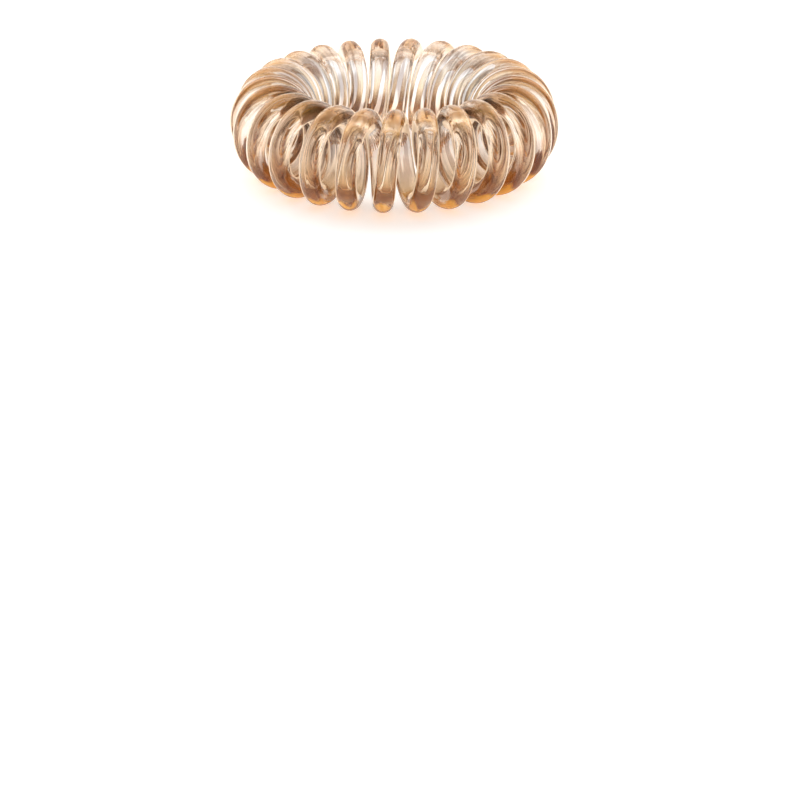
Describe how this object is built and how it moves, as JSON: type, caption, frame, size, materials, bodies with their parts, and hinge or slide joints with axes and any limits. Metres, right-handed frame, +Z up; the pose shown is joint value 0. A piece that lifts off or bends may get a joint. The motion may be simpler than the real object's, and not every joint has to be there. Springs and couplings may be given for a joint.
{
  "type": "spiral hair tie",
  "caption": "Spiral hair tie: one round clear plastic wire wound into a coil of upright turns, and the coil closed into a ring.",
  "frame": {"origin": "centre of the ring, on the plane that it rests on", "axes": "+Z up along the ring's axis, through the hole for the hair; -Y to the side that the picture shows as the front, where the top of a turn is; +X to the right seen from there"},
  "size_m": [0.0519, 0.0519, 0.0159],
  "materials": {
    "wire": "clear and glossy, tinted honey"
  },
  "bodies": {
    "root": {"coil": "wire"}
  },
  "joints": []
}
